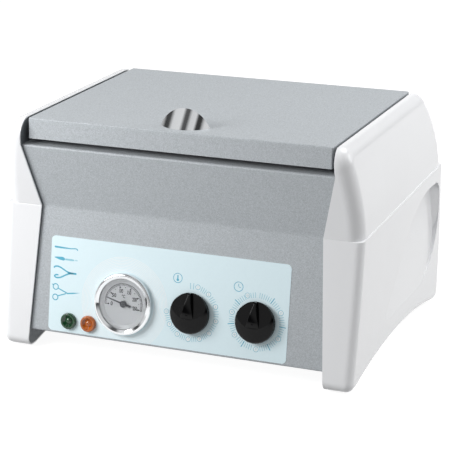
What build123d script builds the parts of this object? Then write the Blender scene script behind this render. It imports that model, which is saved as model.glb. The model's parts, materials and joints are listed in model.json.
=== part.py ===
from build123d import *
import os
from math import atan2, cos, degrees, radians, sin

# A bench-top dry heat sterilizer: a heated stainless chamber under a hinged lid, with its
# controls on the lower half of a waisted front panel, between two moulded side covers.
# X runs to the right, Y to the back and Z up, in millimetres. Everything is laid out with
# Y = 0 at the front edge of the shelf under the lid and Z = 0 at the bottoms of the side
# covers. At the end the pieces move so that the origin is the middle of the footprint,
# on the ground under the rubber feet.

# Sheets and the gaps between pieces
sheet_t = 1.2
side_sheet_t = 1.5
stainless_t = 1.0
play = 0.15
lid_gap = 0.3

# Reach of the blocks that cut and trim, and how far they run past what they cut
far = 400
spare = 20

# Front panel: a shelf, a leaning brow, a waist, a lower face and a hem
shelf_depth = 22
waist_y = 11.1
hem_y = -10.8
hem_z = 17.6
hem_flange = 16
lower_face = 126.9
brow_face = 63.7
tight_bend = 2
waist_bend = 12
hole_reach = 10

# Width of the casing, from the insulated chamber out to the sheets' flare
casing_gap = 8
brow_flare = 15
brim_lean = 1.9
hem_flare = 8

# Rear panel: a ledge that carries the hinges, a slope and an upright face
ledge_behind_chamber = 34
ledge_depth = 16
ledge_drop = 20
slope_drop = 23
rear_behind_ledge = 19
vent_pitch = 11
vent_count = 6
vent_length = 78
vent_height = 4
vent_x = 52
vent_low_z = 92

# Side covers: moulded shells with a crease, a grip and arched feet
cover_wall = 2.5
cover_proud = 3.45
cover_reach = 24.4
cover_over_lid = 0.6
cover_top_back = 2
cover_bulge = 5
crease_behind_rear = 12
crease_rise = 8.5
crease_ledge = 1.2
foot_behind_rear = 15
foot_tuck = 3
belly_z = 85
shoulder_r = 251
brow_round = 18
upper_round = 14
lower_round = 8
foot_round = 9
arch_front_y = 0
arch_before_heel = 13
arch_rise = 14.5
arch_blend = 25
crease_round = 0.8
cover_lip = 1.5
cover_bevel = 1.2
boss_r = 4.5
boss_places = [(40, 70), (60, 190), (215, 170), (120, 25)]

# Grip recess in each side cover
grip_low_z = 39
grip_top_z = 137
grip_before_crease_end = 12
grip_tip_y = 76
grip_bend_y = 150
grip_bend_z = 106
grip_crown_run = 21
grip_tip_round = 7
grip_top_round = 14
grip_heel_round = 70
grip_depth = 9
grip_toe_depth = 1
grip_slope = 9

# Deck and base plate
deck_inset = 3.2
base_setback = 5
base_flange = 14
base_vent_count = 5
base_vent_pitch = 12
base_vent_x = 75
base_vent_y = 150

# Chamber, its rim and the tray that stands in it
chamber_half = 127
chamber_front_y = 43
chamber_length = 168
chamber_depth = 74
chamber_round = 13
rim_width = 16
gasket_width = 9
gasket_height = 5.2
gasket_round = 1.8
chamber_floor_round = 6
rim_round = 12
tray_gap = 4
tray_height = 24
tray_foot = 5
tray_foot_r = 4
tray_foot_inset = 22
tray_slots_across = 7
tray_slots_deep = 3
tray_slot_pitch_x = 32
tray_slot_pitch_y = 40
tray_slot_length = 24
tray_slot_width = 6
tray_wire_r = 1.75
tray_handle_half = 32
tray_handle_rise = 20
tray_handle_leg = 12
tray_handle_bend = 8

# Heater, insulation and heat shield
heater_r = 3.25
heater_runs = 4
heater_pitch = 60
heater_bend = 28
heater_margin = 17
heater_end = 12
heater_room = 12
heater_hole_clearance = 0.5
wool_t = 13
clip_width = 10
clip_t = 1.5
clip_spread = 80
clip_post_r = 2.5

# Lid
lid_side_gap = 3.6
lid_rise = 26.2
lid_front_y = 5.5
lid_skirt = 20.6
lid_skirt_lean = 1.5
lid_edge_round = 1.4
liner_flange = 9
liner_press = 5
liner_press_inset = 10
wool_margin = 3

# Lid handle: a chromed half shell, leaning back and open behind
handle_x = 0
handle_half = 25.7
handle_front_y = 13.5
handle_depth = 15.5
handle_lean = 49
handle_wall = 2
handle_boss_r = 3.4
handle_boss_height = 5.5
handle_screw_x = 13
handle_screw_r = 1.6
handle_screw_head_r = 3.2
handle_screw_head = 2.2

# Hinges
hinge_from_side = 54.5
hinge_length = 62
hinge_knuckle_r = 3.5
hinge_leaf_t = 1.5
hinge_pin_r = 1.5
hinge_running = 0.05
hinge_axis_rise = 2.8
hinge_body_leaf = 20
hinge_lid_leaf = 19
hinge_end_gap = 0.4

# Controls on the lower panel: X, and the distance up the panel from its hem
label_t = 0.3
label_left_margin = 11.8
label_right_margin = 30.3
label_low = 2.6
label_high = 99.2
label_round = 4.5
gauge_x = -54.3
gauge_up = 39.5
heat_x = 18.2
timer_x = 86.5
knob_up = 39.8
green_x = -114
amber_x = -92
lamp_up = 14.4

# Temperature gauge: case, clamp, dished dial, needle, glass and bezel
case_r = 26
case_depth = 22
case_wall = 1
case_clearance = 0.3
clamp_width = 4
clamp_height = 5
bezel_r = 31
bezel_height = 6
bezel_lip = 0.8
bezel_crown = 2.6
bezel_round = 2.4
dial_r = 21.2
dial_z = 0.6
dial_t = 0.8
dial_rise = 1.9
glass_t = 1.3
needle_z = 2
needle_reach = 19.5
needle_tail = 8.4
needle_tip_width = 0.7
needle_root_width = 1.6
needle_tail_width = 2.4
needle_t = 0.5
needle_hub_r = 3.4
needle_hub_height = 1.1
needle_reading = 165
arbor_r = 0.8
arbor_running = 0.06
arbor_length = 8
movement_r = 10

# Capillary tubes and the bulbs under the chamber
capillary_r = 0.9
capillary_bend = 12
bulb_r = 3
bulb_length = 70
bulb_x = [-60, 60]
bulb_front_y = 80
capillary_turn_z = 82
capillary_hole_r = 4

# Knobs, spindles and the switches behind them
knob_r = 20.3
knob_neck_r = 18.5
knob_neck = 2.4
knob_draft = 0.3
knob_shoulder = 7.5
knob_bevel = 1.5
knob_dome = 4
scoop_start_y = -4
scoop_start_z = 10.8
scoop_fall = 18.6
ridge_tip = 0.9
ridge_half = 7
ridge_round = 0.7
knob_lift = 0.6
knob_socket_r = 10.5
knob_socket_depth = 2.5
spindle_r = 3
spindle_running = 0.05
spindle_grip = 6.5
spindle_tail = 12
bush_r = 5
bush_height = 2.6
bush_clearance = 0.1
nut_across = 14
nut_t = 2
heat_switch_width = 36
heat_switch_length = 44
heat_switch_depth = 18
timer_width = 46
timer_length = 46
timer_depth = 34
switch_round = 4

# Lamps
lamp_r = 8.2
lamp_height = 3.6
lamp_rim_round = 1.2
lamp_cup_r = 6
lamp_cup_floor = 1.2
lamp_dome_r = 3.6
lamp_dome = 1.5
lamp_neck_r = 5.5
lamp_neck = 9
lamp_body_r = 7
lamp_body_depth = 20

# Power inlet, terminal block and cut-out
inlet_from_side = 37
inlet_z = 62
inlet_flange_w = 50
inlet_flange_h = 23
inlet_flange_t = 2.5
inlet_body_w = 28
inlet_body_h = 20.5
inlet_body_depth = 22
inlet_mouth_w = 24
inlet_mouth_h = 16.5
inlet_mouth_depth = 17
inlet_screw_pitch = 40
inlet_screw_r = 1.6
blade_w = 2
blade_h = 4
blade_length = 12
blade_pitch = 7
block_x = 60
block_y = 190
block_length = 46
block_width = 20
block_height = 16
cutout_r = 8
cutout_height = 9

# Rubber feet
foot_pad_r = 7.5
foot_pad_height = 2
foot_from_hem = 11.5
foot_front_y = 3
foot_before_heel = 17
foot_stem_r = 2.4
foot_stem = 6
foot_seat = 9
foot_seat_wall = 1


def along(z, z_low, value_low, z_high, value_high):
    """Value at height z on the straight line through two heights."""
    return value_low + (value_high - value_low) * (z - z_low) / (z_high - z_low)


def casing_half(z):
    """Half width between the side sheets at height z."""
    if z > shelf_z:
        return along(z, shelf_z, shelf_half, cover_top_z, brim_half)
    if z > waist_z:
        return along(z, waist_z, waist_half, shelf_z, shelf_half)
    return along(z, hem_z, hem_half, waist_z, waist_half)


def along_x(face, x_low, x_high):
    """Solid with the (Y, Z) outline face, from x_low to x_high."""
    return extrude(Plane.YZ.offset(x_low) * face, amount=x_high - x_low)


def along_y(face, y_low, y_high):
    """Solid with the (X, Z) outline face, from y_low to y_high."""
    plane = Plane(origin=(0, y_high, 0), x_dir=(1, 0, 0), z_dir=(0, -1, 0))
    return extrude(plane * face, amount=y_high - y_low)


def along_z(face, z_low, z_high):
    """Solid with the (X, Y) outline face, from z_low to z_high."""
    return extrude(Pos(0, 0, z_low) * face, amount=z_high - z_low)


def block(x_low, x_high, y_low, y_high, z_low, z_high):
    """Plain box between two corners."""
    middle = Pos((x_low + x_high) / 2, (y_low + y_high) / 2, (z_low + z_high) / 2)
    return middle * Box(x_high - x_low, y_high - y_low, z_high - z_low)


def rounded_plate(x_half, y_low, y_high, corner, z_low, z_high):
    """Upright block with rounded corners, centred on X = 0."""
    outline = Pos(0, (y_low + y_high) / 2) * RectangleRounded(2 * x_half, y_high - y_low, corner)
    return along_z(outline, z_low, z_high)


def polygon(*points):
    """Face bounded by straight lines through the points."""
    return make_face(Polyline(*points, close=True))


def folded(points, thickness, bends):
    """Section of a sheet folded along points, thickened to the left of their run."""
    path = FilletPolyline(*points, radius=bends)
    return make_face(offset(path, amount=thickness, side=Side.LEFT, closed=True).edges())


def turned(points):
    """Solid turned about Z from (radius, height) points."""
    return revolve(Plane.XZ * polygon(*points), axis=Axis.Z)


def cap_radius(half_width, rise):
    """Radius of the circle or ball through a cap's two ends and its top."""
    return (half_width ** 2 + rise ** 2) / (2 * rise)


def cap(radius, rise, z):
    """Low dome on the disc of this radius at height z."""
    ball_r = cap_radius(radius, rise)
    ball = Pos(0, 0, z + rise - ball_r) * Sphere(ball_r)
    return ball & along_z(Circle(radius), z, z + rise)


def mirrored(shape):
    """The same piece on the other side of the object."""
    return mirror(shape, about=Plane.YZ)


def between_sides(clearance, y_low, y_high, z_low=0, z_high=far):
    """Everything between the side sheets, less a clearance on each side."""
    right = [(casing_half(z) - clearance, z) for z in (z_low, waist_z, shelf_z, z_high)]
    left = [(-x, z) for x, z in reversed(right)]
    return along_y(polygon(*right, *left), y_low, y_high)


# Layout that follows from the sizes: heights, half widths and depths
waist_z = hem_z + lower_face
shelf_z = waist_z + brow_face
lid_top_z = shelf_z + lid_rise
cover_top_z = lid_top_z + cover_over_lid
crease_back_z = waist_z + crease_rise
waist_half = chamber_half + stainless_t + wool_t + casing_gap
shelf_half = waist_half + brow_flare
brim_half = shelf_half - brim_lean
hem_half = waist_half + hem_flare
lid_half = brim_half - lid_side_gap
belly_half = shelf_half + cover_reach
crease_half = belly_half - crease_ledge
foot_half = belly_half - foot_tuck
foot_x = hem_half + foot_from_hem
hinge_x = lid_half - hinge_from_side
inlet_x = inlet_from_side - waist_half
label_left = label_left_margin - waist_half
label_right = waist_half - label_right_margin
chamber_back_y = chamber_front_y + chamber_length
ledge_y = chamber_back_y + ledge_behind_chamber
rear_y = ledge_y + rear_behind_ledge
cover_top_back_y = ledge_y - cover_top_back
crease_back_y = rear_y + crease_behind_rear
foot_back_y = rear_y + foot_behind_rear
arch_back_y = foot_back_y - arch_before_heel
foot_rear_y = foot_back_y - foot_before_heel
grip_back_y = crease_back_y - grip_before_crease_end

# Layout of the sheets, the chamber and the lid
hinge_axis_z = shelf_z + hinge_axis_rise
deck_top_z = shelf_z - sheet_t
deck_z = deck_top_z - sheet_t
rim_top_z = deck_top_z + stainless_t
chamber_floor_z = rim_top_z - chamber_depth
chamber_under_z = chamber_floor_z - stainless_t
wool_floor_z = chamber_under_z - heater_room
wool_under_z = wool_floor_z - wool_t
wool_half = chamber_half + stainless_t + wool_t
wool_front_y = chamber_front_y - stainless_t - wool_t
wool_back_y = chamber_back_y + stainless_t + wool_t
gasket_top_z = rim_top_z + gasket_height
liner_z = gasket_top_z + lid_gap
lid_under_z = lid_top_z - sheet_t
skirt_z = lid_top_z - lid_skirt
hinge_y = ledge_y + hinge_knuckle_r
front_y = waist_y - cover_proud
brow_top_y = along(cover_top_z, waist_z, front_y, shelf_z, -cover_proud)
toe_y = along(0, hem_z, hem_y - cover_proud, waist_z, front_y)
panel_tilt = degrees(atan2(waist_y - hem_y, waist_z - hem_z))
panel_normal = (0, -cos(radians(panel_tilt)), sin(radians(panel_tilt)))
panel = Plane(origin=(0, hem_y, hem_z), x_dir=(1, 0, 0), z_dir=panel_normal)


def on_panel(x, up, shape):
    """Place a shape drawn about +Z on the lower panel, at X and a distance up from the hem."""
    return panel * Pos(x, up, 0) * shape


def crease_z(y):
    """Height of the covers' crease, which rises a little towards the back."""
    return waist_z + (y - front_y) * (crease_back_z - waist_z) / (crease_back_y - front_y)


# Side covers

def cover_side():
    """Side view of a cover as (Y, Z) face: waisted front, domed back and arched foot."""
    toe = (toe_y, 0)
    waist = (front_y, waist_z)
    brow = (brow_top_y, cover_top_z)
    back_top = (cover_top_back_y, cover_top_z)
    back_crease = (crease_back_y, crease_back_z)
    heel = (foot_back_y, 0)
    chord_y = (cover_top_back_y + crease_back_y) / 2 + cover_bulge
    chord_z = (cover_top_z + crease_back_z) / 2 + cover_bulge / 2
    arch_middle = ((arch_front_y + arch_back_y) / 2, arch_rise)
    edges = [
        Polyline((arch_front_y, 0), toe, waist, brow, back_top),
        ThreePointArc(back_top, (chord_y, chord_z), back_crease),
        Polyline(back_crease, heel, (arch_back_y, 0)),
        ThreePointArc((arch_back_y, 0), arch_middle, (arch_front_y, 0)),
    ]
    return make_face(edges)


def rounded_at(face, point, radius):
    """Round the outline's corner nearest to the (Y, Z) point."""
    corner = face.vertices().sort_by_distance(point)[0]
    return fillet(corner, radius)


def cover_outline(inset):
    """The rounded side view, drawn in by an inset all round."""
    face = cover_side()
    face = rounded_at(face, (brow_top_y, cover_top_z), brow_round)
    face = rounded_at(face, (cover_top_back_y, cover_top_z), brow_round)
    face = rounded_at(face, (toe_y, 0), foot_round)
    face = rounded_at(face, (foot_back_y, 0), foot_round)
    face = rounded_at(face, (arch_front_y, 0), arch_blend)
    face = rounded_at(face, (arch_back_y, 0), arch_blend)
    if inset:
        face = offset(face, amount=-inset, kind=Kind.INTERSECTION)
    return face


def side_limits(inset):
    """Front views (X, Z) of a cover's outside, above and below the crease."""
    low_z = -spare
    high_z = cover_top_z + spare
    lean = [(z - crease_back_z) ** 2 / (2 * shoulder_r) for z in (low_z, waist_z, high_z)]
    middle_z = (crease_back_z + high_z) / 2
    middle_lean = (middle_z - crease_back_z) ** 2 / (2 * shoulder_r)
    upper = [
        Polyline((crease_half - inset - lean[2], high_z), (0, high_z), (0, waist_z - spare),
                 (crease_half - inset, waist_z - spare), (crease_half - inset, crease_back_z)),
        ThreePointArc((crease_half - inset, crease_back_z),
                      (crease_half - inset - middle_lean, middle_z),
                      (crease_half - inset - lean[2], high_z)),
    ]
    lower = [
        Polyline((belly_half - inset, crease_back_z + spare), (0, crease_back_z + spare),
                 (0, low_z), (foot_half - inset, low_z)),
        ThreePointArc((foot_half - inset, low_z), (belly_half - inset, belly_z),
                      (belly_half - inset, crease_back_z + spare)),
    ]
    return make_face(upper), make_face(lower)


def above_crease(drop):
    """Region of the side view above a line under the crease."""
    return polygon((-far, crease_z(-far) - drop), (far, crease_z(far) - drop), (far, far), (-far, far))


def cover_form(inset, crease_edge=0):
    """Solid block of the right cover's outer form, from the middle of the object outwards."""
    side = cover_outline(inset)
    upper_limit, lower_limit = side_limits(inset)
    core_x = waist_half - 10
    upper_side = side & above_crease(inset)
    lower_side = side - above_crease(inset)
    upper = along_x(upper_side, core_x, far) & along_y(upper_limit, -far, far)
    lower = along_x(lower_side, core_x, far) & along_y(lower_limit, -far, far)
    upper = round_outside(upper, upper_round - inset, inset)
    lower = round_outside(lower, lower_round - inset, inset)
    if crease_edge:
        lower = round_crease(lower, crease_edge, core_x)
    return upper + lower


def off_crease(point, drop=0):
    """Height of a point above or below a line under the crease."""
    return abs(point.Z - crease_z(point.Y) + drop)


def round_outside(shape, radius, drop):
    """Round all of the outer face's border but its side along the crease."""
    outer = shape.faces().sort_by(Axis.X)[-1]
    border = [edge for edge in outer.edges() if off_crease(edge.position_at(0.5), drop) > 1]
    return fillet(border, radius)


def round_crease(shape, radius, core_x):
    """Round the border of the ledge on top of the cover's lower half."""
    ledge = min(shape.faces(), key=lambda face: off_crease(face.center()))
    border = [edge for edge in ledge.edges() if edge.position_at(0.5).X > core_x + 1]
    return fillet(border, radius)


def grip_outline(grow):
    """Side view of the grip recess: a rising lower edge, a curved front and a steep back."""
    rise = (grip_bend_z - grip_low_z) / (grip_bend_y - grip_tip_y)
    tip = (grip_tip_y, grip_low_z)
    bend = (grip_bend_y, grip_bend_z)
    crown = (grip_back_y - grip_crown_run, grip_top_z)
    edges = [
        Polyline(crown, (grip_back_y, grip_top_z), (grip_back_y, grip_low_z), tip, bend),
        TangentArc(bend, crown, tangent=(1, rise)),
    ]
    face = make_face(edges)
    face = rounded_at(face, tip, grip_tip_round)
    face = rounded_at(face, (grip_back_y, grip_top_z), grip_top_round)
    face = rounded_at(face, (grip_back_y, grip_low_z), grip_heel_round)
    if grow:
        face = offset(face, amount=grow)
    return face


def grip_pocket(grow):
    """Block that cuts the grip recess: its floor runs out at the bottom and its back slopes."""
    deep_x = belly_half - grip_depth - grow
    toe_x = belly_half - grip_toe_depth - grow
    mouth_x = belly_half + grip_depth
    low_z = grip_low_z - grow
    top_z = grip_top_z + spare
    back_y = grip_back_y + grow
    outside = polygon((toe_x, low_z), (deep_x, grip_top_z), (deep_x, top_z), (mouth_x, top_z), (mouth_x, low_z))
    ahead = polygon((deep_x, back_y - grip_slope), (mouth_x, back_y + grip_slope), (mouth_x, -far), (deep_x, -far))
    pocket = along_x(grip_outline(grow), deep_x, mouth_x)
    return pocket & along_y(outside, -far, far) & along_z(ahead, -far, far)


def side_cover():
    """Right cover: a shell with bosses and foot seats, its lip rebated over the side sheet's edge."""
    inner = cover_form(cover_wall) - grip_pocket(cover_wall)
    for y, z in boss_places:
        inner -= along_x(Pos(y, z) * Circle(boss_r), waist_half, far / 2)
    seats = [Pos(foot_x, y) for y in (foot_front_y, foot_rear_y)]
    for spot in seats:
        inner -= along_z(spot * Circle(foot_pad_r + foot_seat_wall), -spare, foot_seat)
    shell = cover_form(0, crease_round) - grip_pocket(0) - inner
    shell -= between_sides(0, -far / 2, far, -spare)
    shell -= lip_bevel()
    shell -= side_sheet()
    for spot in seats:
        shell -= along_z(spot * Circle(foot_stem_r), 0, foot_seat)
    return shell


def lip_bevel():
    """Wedge that bevels the cover's inner edge along the lid."""
    low_z = cover_top_z - cover_bevel
    wedge = polygon((brim_half - spare, low_z - spare), (brim_half + spare, low_z + spare),
                    (brim_half - spare, low_z + spare))
    return along_y(wedge, -far, far)


# Casing sheets

def side_sheet():
    """Right side sheet, folded at the shelf and the waist and trimmed like the cover."""
    heights = (-far, waist_z, shelf_z, far)
    inner = [(casing_half(z), z) for z in heights]
    outer = [(x + side_sheet_t, z) for x, z in reversed(inner)]
    band = along_y(polygon(*inner, *outer), -far, far)
    return band & along_x(cover_outline(cover_lip), waist_half / 2, far)


def control_holes():
    """Everything that passes through the lower panel and its label, as cylinders."""
    bush_hole = Cylinder(bush_r + bush_clearance, hole_reach)
    lamp_hole = Cylinder(lamp_neck_r + bush_clearance, hole_reach)
    return [
        on_panel(gauge_x, gauge_up, Cylinder(case_r + case_clearance, hole_reach)),
        on_panel(heat_x, knob_up, bush_hole),
        on_panel(timer_x, knob_up, bush_hole),
        on_panel(green_x, lamp_up, lamp_hole),
        on_panel(amber_x, lamp_up, lamp_hole),
    ]


def front_panel():
    """Front sheet with its shelf on top and its hem turned under."""
    run = [(shelf_depth, shelf_z), (0, shelf_z), (waist_y, waist_z), (hem_y, hem_z),
           (hem_y + hem_flange, hem_z)]
    section = folded(run, sheet_t, [tight_bend, waist_bend, tight_bend])
    sheet = along_x(section, -far, far) & between_sides(play, -far, far)
    for hole in control_holes():
        sheet -= hole
    return sheet


def control_label():
    """Thin label on the lower panel, holed like the panel."""
    width = label_right - label_left
    height = label_high - label_low
    plate = extrude(RectangleRounded(width, height, label_round), amount=label_t)
    label = on_panel((label_left + label_right) / 2, (label_low + label_high) / 2, plate)
    for hole in control_holes():
        label -= hole
    return label


def rear_panel():
    """Rear sheet: hem, upright face with vents and inlet, slope, hinge ledge and top flange."""
    run = [(rear_y - hem_flange, hem_z), (rear_y, hem_z),
           (rear_y, shelf_z - ledge_drop - slope_drop), (ledge_y, shelf_z - ledge_drop),
           (ledge_y, shelf_z), (ledge_y - ledge_depth, shelf_z)]
    sheet = along_x(folded(run, sheet_t, tight_bend), -far, far) & between_sides(play, -far, far)
    for side in (-1, 1):
        for row in range(vent_count):
            vent = Pos(side * vent_x, vent_low_z + row * vent_pitch) * SlotOverall(vent_length, vent_height)
            sheet -= along_y(vent, rear_y - 2 * sheet_t, rear_y + sheet_t)
    cut = Pos(inlet_x, inlet_z) * Rectangle(inlet_body_w + 2 * play, inlet_body_h + 2 * play)
    sheet -= along_y(cut, rear_y - 2 * sheet_t, rear_y + sheet_t)
    return sheet


def base_plate():
    """Bottom sheet with low side flanges and vents, standing on the hems."""
    low_z = hem_z + sheet_t
    high_z = low_z + base_flange
    low_half = casing_half(low_z) - play
    high_half = casing_half(high_z) - play
    run = [(-high_half, high_z), (-low_half, low_z), (low_half, low_z), (high_half, high_z)]
    plate = along_y(folded(run, sheet_t, tight_bend), hem_y + base_setback, rear_y - base_setback)
    for side in (-1, 1):
        for row in range(base_vent_count):
            y = base_vent_y + (row - (base_vent_count - 1) / 2) * base_vent_pitch
            vent = Pos(side * base_vent_x, y) * SlotOverall(vent_length, vent_height)
            plate -= along_z(vent, low_z - sheet_t, low_z + 2 * sheet_t)
    return plate


def chamber_shape(grow, z_low, z_high):
    """Rounded upright block on the chamber's plan, grown outwards."""
    return rounded_plate(chamber_half + grow, chamber_front_y - grow, chamber_back_y + grow,
                         chamber_round + grow, z_low, z_high)


def top_deck():
    """Flat deck under the shelf and the rear flange, with the chamber's opening."""
    plate = block(-far, far, deck_inset, ledge_y - deck_inset, deck_z, deck_top_z)
    plate &= between_sides(play, -far, far)
    return plate - chamber_shape(stainless_t + play, 0, far)


# Chamber and what is in and around it

def chamber():
    """Deep-drawn stainless chamber that hangs in the deck by its rim."""
    outside = chamber_shape(stainless_t, chamber_under_z, rim_top_z)
    inside = chamber_shape(0, chamber_floor_z, far)
    outside = fillet(outside.faces().sort_by(Axis.Z)[0].edges(), chamber_floor_round + stainless_t)
    inside = fillet(inside.faces().sort_by(Axis.Z)[0].edges(), chamber_floor_round)
    rim = rounded_plate(chamber_half + rim_width, chamber_front_y - rim_width,
                        chamber_back_y + rim_width, rim_round, deck_top_z, rim_top_z)
    return outside + rim - inside


def chamber_gasket():
    """Silicone seal on the rim, with a rounded top."""
    outer_grow = (rim_width + gasket_width) / 2
    inner_grow = (rim_width - gasket_width) / 2
    ring = chamber_shape(outer_grow, rim_top_z, gasket_top_z)
    ring -= chamber_shape(inner_grow, rim_top_z, gasket_top_z)
    return fillet(ring.faces().sort_by(Axis.Z)[-1].edges(), gasket_round)


def tray_shape(inset, z_low, z_high):
    """Upright block on the tray's plan, drawn in by an inset."""
    return chamber_shape(-tray_gap - inset, z_low, z_high)


tray_floor_z = chamber_floor_z + tray_foot
tray_rim_z = tray_floor_z + tray_height
tray_half = chamber_half - tray_gap
tray_middle_y = (chamber_front_y + chamber_back_y) / 2
tray_half_depth = (chamber_back_y - chamber_front_y) / 2 - tray_gap


def tray():
    """Slotted instrument tray on four pressed feet."""
    body = tray_shape(0, tray_floor_z, tray_rim_z)
    body -= tray_shape(stainless_t, tray_floor_z + stainless_t, far)
    middle = Pos(0, tray_middle_y)
    slot = SlotOverall(tray_slot_length, tray_slot_width)
    for spot in GridLocations(tray_slot_pitch_x, tray_slot_pitch_y, tray_slots_across, tray_slots_deep):
        body -= along_z(middle * spot * slot, chamber_floor_z, tray_floor_z + 2 * stainless_t)
    spread_x = 2 * (tray_half - tray_foot_inset / 2)
    spread_y = 2 * (tray_half_depth - tray_foot_inset / 2)
    for spot in GridLocations(spread_x, spread_y, 2, 2):
        body += along_z(middle * spot * Circle(tray_foot_r), chamber_floor_z, tray_floor_z)
    return body


def tray_handles():
    """Wire loop welded inside each end of the tray."""
    foot_z = tray_rim_z - tray_handle_leg
    top_z = tray_rim_z + tray_handle_rise
    x = tray_half - stainless_t - tray_wire_r
    near_y = tray_middle_y - tray_handle_half
    far_y = tray_middle_y + tray_handle_half
    path = FilletPolyline((x, near_y, foot_z), (x, near_y, top_z), (x, far_y, top_z),
                          (x, far_y, foot_z), radius=tray_handle_bend)
    loop = round_tube(path, tray_wire_r)
    return Compound(children=[loop, mirrored(loop)])


def round_tube(path, radius):
    """Round bar along a path."""
    start = Plane(origin=path @ 0, z_dir=path % 0)
    return sweep(start * Circle(radius), path=path)


heater_z = chamber_under_z - heater_r
heater_tail_y = wool_back_y + heater_end
bulb_z = chamber_under_z - bulb_r
rise_y = bulb_front_y - capillary_bend - bulb_r


def heater():
    """Tubular heater in hairpin turns under the chamber, with both tails at the back."""
    near_y = chamber_front_y + heater_margin
    far_y = chamber_back_y - heater_margin
    points = []
    for run in range(heater_runs):
        x = (run - (heater_runs - 1) / 2) * heater_pitch
        ends = (far_y, near_y) if run % 2 == 0 else (near_y, far_y)
        points += [(x, ends[0], heater_z), (x, ends[1], heater_z)]
    points[0] = (points[0][0], heater_tail_y, heater_z)
    points[-1] = (points[-1][0], heater_tail_y, heater_z)
    return round_tube(FilletPolyline(*points, radius=heater_bend), heater_r)


def heater_clips():
    """Two straps that hold the heater to studs under the chamber."""
    half = (heater_runs - 1) / 2 * heater_pitch + clip_width
    strap_top_z = heater_z - heater_r
    middle_y = (chamber_front_y + chamber_back_y) / 2
    clips = []
    for y in (middle_y - clip_spread / 2, middle_y + clip_spread / 2):
        clip = block(-half, half, y - clip_width / 2, y + clip_width / 2,
                     strap_top_z - clip_t, strap_top_z)
        for gap in range(heater_runs - 1):
            x = (gap - (heater_runs - 2) / 2) * heater_pitch + clip_width
            clip += along_z(Pos(x, y) * Circle(clip_post_r), strap_top_z, chamber_under_z)
        clips.append(clip)
    return Compound(children=clips)


def chamber_wool():
    """Mineral wool round the chamber, with room for the heater and holes for tubes."""
    wool = block(-wool_half, wool_half, wool_front_y, wool_back_y, wool_under_z, deck_z)
    corners = wool.faces().sort_by(Axis.Z)[0].edges().filter_by(Axis.Y)
    wool = fillet(corners, tight_bend)
    wool -= chamber_shape(stainless_t, chamber_under_z, far)
    wool -= chamber_shape(-chamber_floor_round, wool_floor_z, chamber_under_z)
    reach = (heater_runs - 1) / 2 * heater_pitch
    for x in (-reach, reach):
        hole = Pos(x, heater_z) * Circle(heater_r + heater_hole_clearance)
        wool -= along_y(hole, tray_middle_y, heater_tail_y)
    for hole in capillary_holes():
        wool -= hole
    return wool


def capillary_holes():
    """Upright holes below the chamber for the capillary tubes."""
    hole = Circle(capillary_hole_r)
    return [along_z(Pos(x, rise_y) * hole, wool_under_z - 2 * sheet_t, wool_floor_z) for x in bulb_x]


def heat_shield():
    """Channel that carries the wool and keeps heat from the controls."""
    run = [(wool_half, deck_z), (wool_half, wool_under_z), (-wool_half, wool_under_z), (-wool_half, deck_z)]
    channel = along_y(folded(run, sheet_t, tight_bend), wool_front_y, wool_back_y)
    for hole in capillary_holes():
        channel -= hole
    return channel


def limit_cutout():
    """Safety cut-out disc against the chamber's underside."""
    disc = Pos(0, tray_middle_y) * Circle(cutout_r)
    return along_z(disc, chamber_under_z - cutout_height, chamber_under_z)


# Lid

def lid_block(inset, z_low, z_high):
    """Block on the lid's outline, drawn in by an inset, with its leaning front."""
    front_low = along(z_low, skirt_z, lid_front_y - lid_skirt_lean, lid_top_z, lid_front_y) + inset
    front_high = along(z_high, skirt_z, lid_front_y - lid_skirt_lean, lid_top_z, lid_front_y) + inset
    back = ledge_y - inset
    outline = polygon((front_low, z_low), (front_high, z_high), (back, z_high), (back, z_low))
    return along_x(outline, -lid_half + inset, lid_half - inset)


def lid_skin():
    """Folded lid: a flat top with a skirt all round."""
    skin = lid_block(0, skirt_z, lid_top_z)
    under = skin.faces().sort_by(Axis.Z)[0].edges()
    skin = fillet([edge for edge in skin.edges() if edge not in under], lid_edge_round)
    skin -= lid_block(sheet_t, skirt_z - sheet_t, lid_under_z)
    for side in (-1, 1):
        spot = Pos(handle_x + side * handle_screw_x, handle_boss_y)
        skin -= along_z(spot * Circle(handle_screw_r + play), lid_under_z - sheet_t, far)
    return skin


def press_shape(grow, z_low, z_high):
    """Raised panel pressed into the middle of the lid's liner."""
    return chamber_shape(grow - liner_press_inset, z_low, z_high)


def lid_liner():
    """Stainless pan that closes the lid from below and meets the gasket."""
    pan = lid_block(sheet_t + play, liner_z, liner_z + liner_flange)
    pan -= lid_block(sheet_t + play + stainless_t, liner_z + stainless_t, far)
    pan += press_shape(0, liner_z, liner_z + liner_press + stainless_t)
    return pan - press_shape(-stainless_t, 0, liner_z + liner_press)


def lid_wool():
    """Insulation between the liner's raised panel and the lid's top."""
    wool = lid_block(sheet_t + wool_margin, liner_z + liner_press + stainless_t, lid_under_z)
    for side in (-1, 1):
        spot = Pos(handle_x + side * handle_screw_x, handle_boss_y)
        wool -= along_z(spot * Circle(2 * handle_screw_head_r), lid_under_z - 2 * handle_screw_head, far)
    return wool


handle_chord_y = handle_front_y + handle_depth
handle_boss_y = handle_chord_y - 2 * handle_boss_r
handle_r = cap_radius(handle_half, handle_depth)


def leaning_disc(inset):
    """Round bar that leans back from the lid, seen in plan as a disc in front."""
    disc = Pos(handle_x, handle_front_y + handle_r, lid_top_z) * Circle(handle_r - inset)
    lean = (0, cos(radians(handle_lean)), sin(radians(handle_lean)))
    return extrude(disc, amount=2 * handle_half, dir=lean)


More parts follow.
